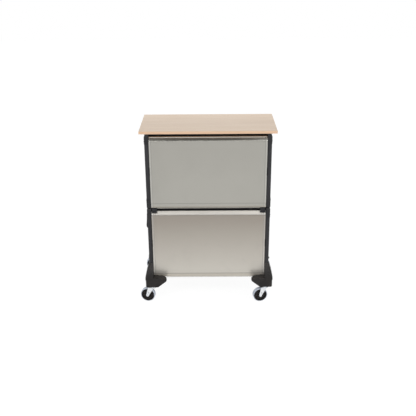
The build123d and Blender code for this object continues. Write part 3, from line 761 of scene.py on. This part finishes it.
def add_caster_bearings():
    """Swivel bearings: two pressed cups with a groove between them."""
    bore, groove = 7.3, 16.4
    cups = round_rings(
        (bore, 0),
        (15.4, 0),
        (17.2, 0.3),
        (17.9, 0.9),
        (17.5, 1.6),
        (groove, 1.9),
        (groove, 2.3),
        (17.5, 2.6),
        (18.0, 3.3),
        (17.6, 4.0),
        (16.9, 4.2),
        (bore, 4.2),
    )
    bearings = bmesh.new()
    for corner in CASTERS:
        lathe(bearings, cups, swivel_of(corner), closed=True, steps=48)
    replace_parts(fitting("caster_bearings", bearings, "zinc", "carcass"), "caster_races")


def add_pedal_ribs(corner):
    """Grip ribs across the top of a brake pedal."""
    rib = [(-0.8, -0.4), (-0.8, 0.3), (-0.45, 0.8), (0, 0.95), (0.45, 0.8), (0.8, 0.3), (0.8, -0.4)]
    first_rib, pitch, count = 40.6, 3, 4
    half_length = 14.5
    x, y, _ = swivel_of(corner)
    pedal_top = corners_of(corner + "_brake_pedal")[1][2]
    across = Vector(joints[corner + "_brake_swing"]["axis"])
    back = across.cross(UP)
    ribs = bmesh.new()
    for index in range(count):
        middle = Vector((x, y, pedal_top)) + back * (first_rib + index * pitch)
        sweep(ribs, [(middle + across * end, back, UP) for end in (-half_length, half_length)], rib)
    ease(ribs, 0.2)
    fitting(corner + "_pedal_ribs", ribs, "pedal_plastic", corner + "_pedal")


def add_side_wall_beads():
    """A pressed bead round each side wall."""
    swell = [(-5, -0.3), (-3.6, 0.45), (-1.8, 1.35), (0, 1.7), (1.8, 1.35), (3.6, 0.45), (5, -0.3)]
    edge_distance, corner_radius, corner_steps = 26, 20, 8
    inset = edge_distance + corner_radius
    beads = bmesh.new()
    for module in MODULES:
        (_, rear, bottom), (wall_x, front, top) = corners_of(module + "_side_walls")
        rear, front, bottom, top = rear + inset, front - inset, bottom + inset, top - inset
        for side, _, _ in SIDES:
            path = []
            for quarter, (y, z) in enumerate(((front, top), (rear, top), (rear, bottom), (front, bottom))):
                for step in range(corner_steps + 1):
                    angle = (quarter + step / corner_steps) * math.pi / 2
                    outward = Vector((0, math.cos(angle), math.sin(angle)))
                    place = Vector((side * wall_x, y, z)) + outward * corner_radius
                    path.append((place, outward, (side, 0, 0)))
            sweep(beads, path, swell, closed=True)
    fitting("side_wall_beads", beads, "panel", "carcass")


def add_upper_panel_bead():
    """A rolled bead along the upper panel's lip, under its top edge, pale as a painted highlight."""
    crest = [(-1.4, -0.3), (-1.25, 0.4), (-0.65, 0.85), (0, 1.0), (0.65, 0.85), (1.25, 0.4), (1.4, -0.3)]
    uphill, off_the_lip = Vector((0, 0.625, 0.781)), Vector((0, -0.781, 0.625))
    drop, setback, end_gap = 4.5, 14.4, 3
    half_width, _, top = corners_of("upper_rear_panel")[1]
    half_length = half_width - end_gap
    y = setback - END_Y
    z = top - drop
    bead = bmesh.new()
    sweep(bead, [((x, y, z), uphill, off_the_lip) for x in (-half_length, half_length)], crest)
    fitting("upper_panel_bead", bead, "bead", "carcass")


def add_panel_hems():
    """Rolled hems under the rear panels, from foot to foot and from clip to clip."""
    radius, steps, setback = 1.1, 14, 3
    half_lengths = {"lower": 225, "upper": 258}
    drops = {"lower": 0.8, "upper": 1.0}
    angles = [math.tau * step / steps for step in range(steps)]
    roll = [(radius * math.cos(angle), radius * math.sin(angle)) for angle in angles]
    y = setback - END_Y
    hems = bmesh.new()
    for module in MODULES:
        z = corners_of(module + "_rear_panel")[0][2] - drops[module]
        ends = (-half_lengths[module], half_lengths[module])
        sweep(hems, [((x, y, z), (0, 1, 0), UP) for x in ends], roll)
    ease(hems, 0.3)
    fitting("panel_hems", hems, "hem", "carcass")


def add_side_lever():
    """A small black lever with its pin, on the left side under the joint between the modules."""
    setback, half_width, root = 11, 6, -0.6
    pin_reach, pin_drop = 1.8, 36
    post_x = corners_of("lower_posts")[0][0]
    joint_level = corners_of("lower_corner_blocks")[1][2]
    middle_y = setback - END_Y
    # How far the face stands out from the post, and how far below the joint that is
    face = [(0.8, 23), (1.6, 32), (3.1, 62), (5.1, 84), (5.7, 91), (5.3, 97), (3.2, 103)]
    outline = [(reach, joint_level - drop) for reach, drop in [(root, 22), *face, (root, 107)]]
    lever = bmesh.new()
    ends = (middle_y - half_width, middle_y + half_width)
    sweep(lever, [((post_x, y, 0), (-1, 0, 0), UP) for y in ends], outline)
    ease(lever, 0.8)
    lathe(lever, PIN_HEAD, (post_x - pin_reach, middle_y, joint_level - pin_drop), LEFTWARDS)
    fitting("side_lever", lever, "catch", "carcass")


add_corner_screws()
for drawer_name in DRAWERS:
    add_rail_screws(drawer_name)
add_caster_bearings()
for braked in BRAKED_CASTERS:
    add_pedal_ribs(braked)
add_side_wall_beads()
add_upper_panel_bead()
add_panel_hems()
add_side_lever()


# Studio: a white surround, a pale floor, four soft lamps and a dark card

scene = bpy.context.scene
scene.view_settings.view_transform = "Standard"

WHITE = (1, 1, 1, 1)
AMBIENT_LIGHT = 0.62
FLOOR_GREY = (0.8, 0.8, 0.8, 1)
FLOOR_GLOW = 1.12
FLOOR_GLOW_SHARE = 0.82
FLOOR_REACH = 9.0
CARD_BLACK = (0.02, 0.02, 0.02, 1)


def seen_white(tree, lit, white):
    """Shows white to the camera and to glossy and transmitted rays, and lit to all others."""
    path = tree.nodes.new("ShaderNodeLightPath")
    seen = path.outputs["Is Camera Ray"]
    for other in ("Is Glossy Ray", "Is Transmission Ray"):
        larger = tree.nodes.new("ShaderNodeMath")
        larger.operation = "MAXIMUM"
        tree.links.new(seen, larger.inputs[0])
        tree.links.new(path.outputs[other], larger.inputs[1])
        seen = larger.outputs["Value"]
    choose = tree.nodes.new("ShaderNodeMixShader")
    tree.links.new(seen, choose.inputs["Fac"])
    tree.links.new(lit, choose.inputs[1])
    tree.links.new(white, choose.inputs[2])
    return choose.outputs["Shader"]


def white_world():
    """A world that lights the cart softly and is seen as white."""
    world = bpy.data.worlds.new("studio")
    world.use_nodes = True
    tree = world.node_tree
    ambient = tree.nodes["Background"]
    ambient.inputs["Color"].default_value = WHITE
    ambient.inputs["Strength"].default_value = AMBIENT_LIGHT
    backdrop = tree.nodes.new("ShaderNodeBackground")
    backdrop.inputs["Color"].default_value = WHITE
    backdrop.inputs["Strength"].default_value = 1.0
    surround = seen_white(tree, ambient.outputs["Background"], backdrop.outputs["Background"])
    tree.links.new(surround, tree.nodes["World Output"].inputs["Surface"])
    return world


def floor_material():
    """Pale matt grey that is seen nearly white and keeps the shadow of the cart."""
    material = bpy.data.materials.new("studio_floor")
    material.use_nodes = True
    tree = material.node_tree
    tree.nodes.remove(tree.nodes["Principled BSDF"])
    pale = tree.nodes.new("ShaderNodeBsdfDiffuse")
    pale.inputs["Color"].default_value = FLOOR_GREY
    glow = tree.nodes.new("ShaderNodeEmission")
    glow.inputs["Color"].default_value = WHITE
    glow.inputs["Strength"].default_value = FLOOR_GLOW
    shown = tree.nodes.new("ShaderNodeMixShader")
    shown.inputs["Fac"].default_value = FLOOR_GLOW_SHARE
    tree.links.new(pale.outputs["BSDF"], shown.inputs[1])
    tree.links.new(glow.outputs["Emission"], shown.inputs[2])
    surface = seen_white(tree, pale.outputs["BSDF"], shown.outputs["Shader"])
    tree.links.new(surface, tree.nodes["Material Output"].inputs["Surface"])
    return material


def card_material():
    """Matt black."""
    material = bpy.data.materials.new("studio_card")
    material.use_nodes = True
    shader = material.node_tree.nodes["Principled BSDF"]
    shader.inputs["Base Color"].default_value = CARD_BLACK
    shader.inputs["Roughness"].default_value = 0.9
    return material


def level_plane(name, left, right, near, far, level, material):
    """A level rectangle."""
    mesh = bpy.data.meshes.new(name)
    outline = [(left, near, level), (right, near, level), (right, far, level), (left, far, level)]
    mesh.from_pydata(outline, [], [(0, 1, 2, 3)])
    mesh.materials.append(material)
    made = bpy.data.objects.new(name, mesh)
    scene.collection.objects.link(made)
    return made


def area_lamp(name, place, target, size, power):
    """A rectangular lamp that faces its target."""
    data = bpy.data.lights.new(name, "AREA")
    data.shape = "RECTANGLE"
    data.size, data.size_y = size
    data.energy = power
    lamp = bpy.data.objects.new(name, data)
    scene.collection.objects.link(lamp)
    lamp.location = place
    lamp.rotation_mode = "QUATERNION"
    lamp.rotation_quaternion = (Vector(target) - Vector(place)).to_track_quat("-Z", "Y")


scene.world = white_world()

floor = level_plane(
    "studio_floor",
    left=-FLOOR_REACH,
    right=FLOOR_REACH,
    near=-FLOOR_REACH,
    far=FLOOR_REACH,
    level=0,
    material=floor_material(),
)

area_lamp("key", place=(0, -2.5, 2.9), target=(0, 0, 0.5), size=(3.2, 1.1), power=40)
area_lamp("fill_left", place=(-2.4, -1.6, 1.5), target=(0, 0, 0.5), size=(1.4, 1.4), power=10)
area_lamp("fill_right", place=(2.4, -1.6, 1.5), target=(0, 0, 0.5), size=(1.4, 1.4), power=10)
area_lamp("back", place=(0, 2.3, 2.9), target=(0, 0, 0.6), size=(1.8, 1.4), power=14)

# The card hangs over the set, where the camera doesn't see it, and the upper panel's lip mirrors it
card = level_plane(
    "studio_card",
    left=-0.5,
    right=0.4,
    near=-1.8,
    far=0.9,
    level=2.8,
    material=card_material(),
)
card.visible_camera = False


# Camera, with its angles in degrees and its lens in millimetres

CAMERA_PLACE = (0.00763, -3.24348, 1.79524)
CAMERA_PITCH = 22.51451
CAMERA_YAW = 0.19010
CAMERA_ROLL = 0.39516
CAMERA_LENS = 57.553
CAMERA_SENSOR = 36


def add_camera():
    """A camera that looks down by its pitch, to the left by its yaw and leans by its roll."""
    pitch, yaw, roll = (math.radians(angle) for angle in (CAMERA_PITCH, CAMERA_YAW, CAMERA_ROLL))
    right = Vector((math.cos(yaw), math.sin(yaw), 0))
    ahead = Vector((-math.sin(yaw), math.cos(yaw), 0))
    forward = ahead * math.cos(pitch) - UP * math.sin(pitch)
    above = ahead * math.sin(pitch) + UP * math.cos(pitch)
    camera_x = right * math.cos(roll) - above * math.sin(roll)
    camera_y = right * math.sin(roll) + above * math.cos(roll)
    data = bpy.data.cameras.new("camera")
    data.sensor_width = CAMERA_SENSOR
    data.lens = CAMERA_LENS
    camera = bpy.data.objects.new("camera", data)
    scene.collection.objects.link(camera)
    turned = Matrix((camera_x, camera_y, -forward)).transposed()
    camera.matrix_world = Matrix.Translation(CAMERA_PLACE) @ turned.to_4x4()
    return camera


scene.camera = add_camera()
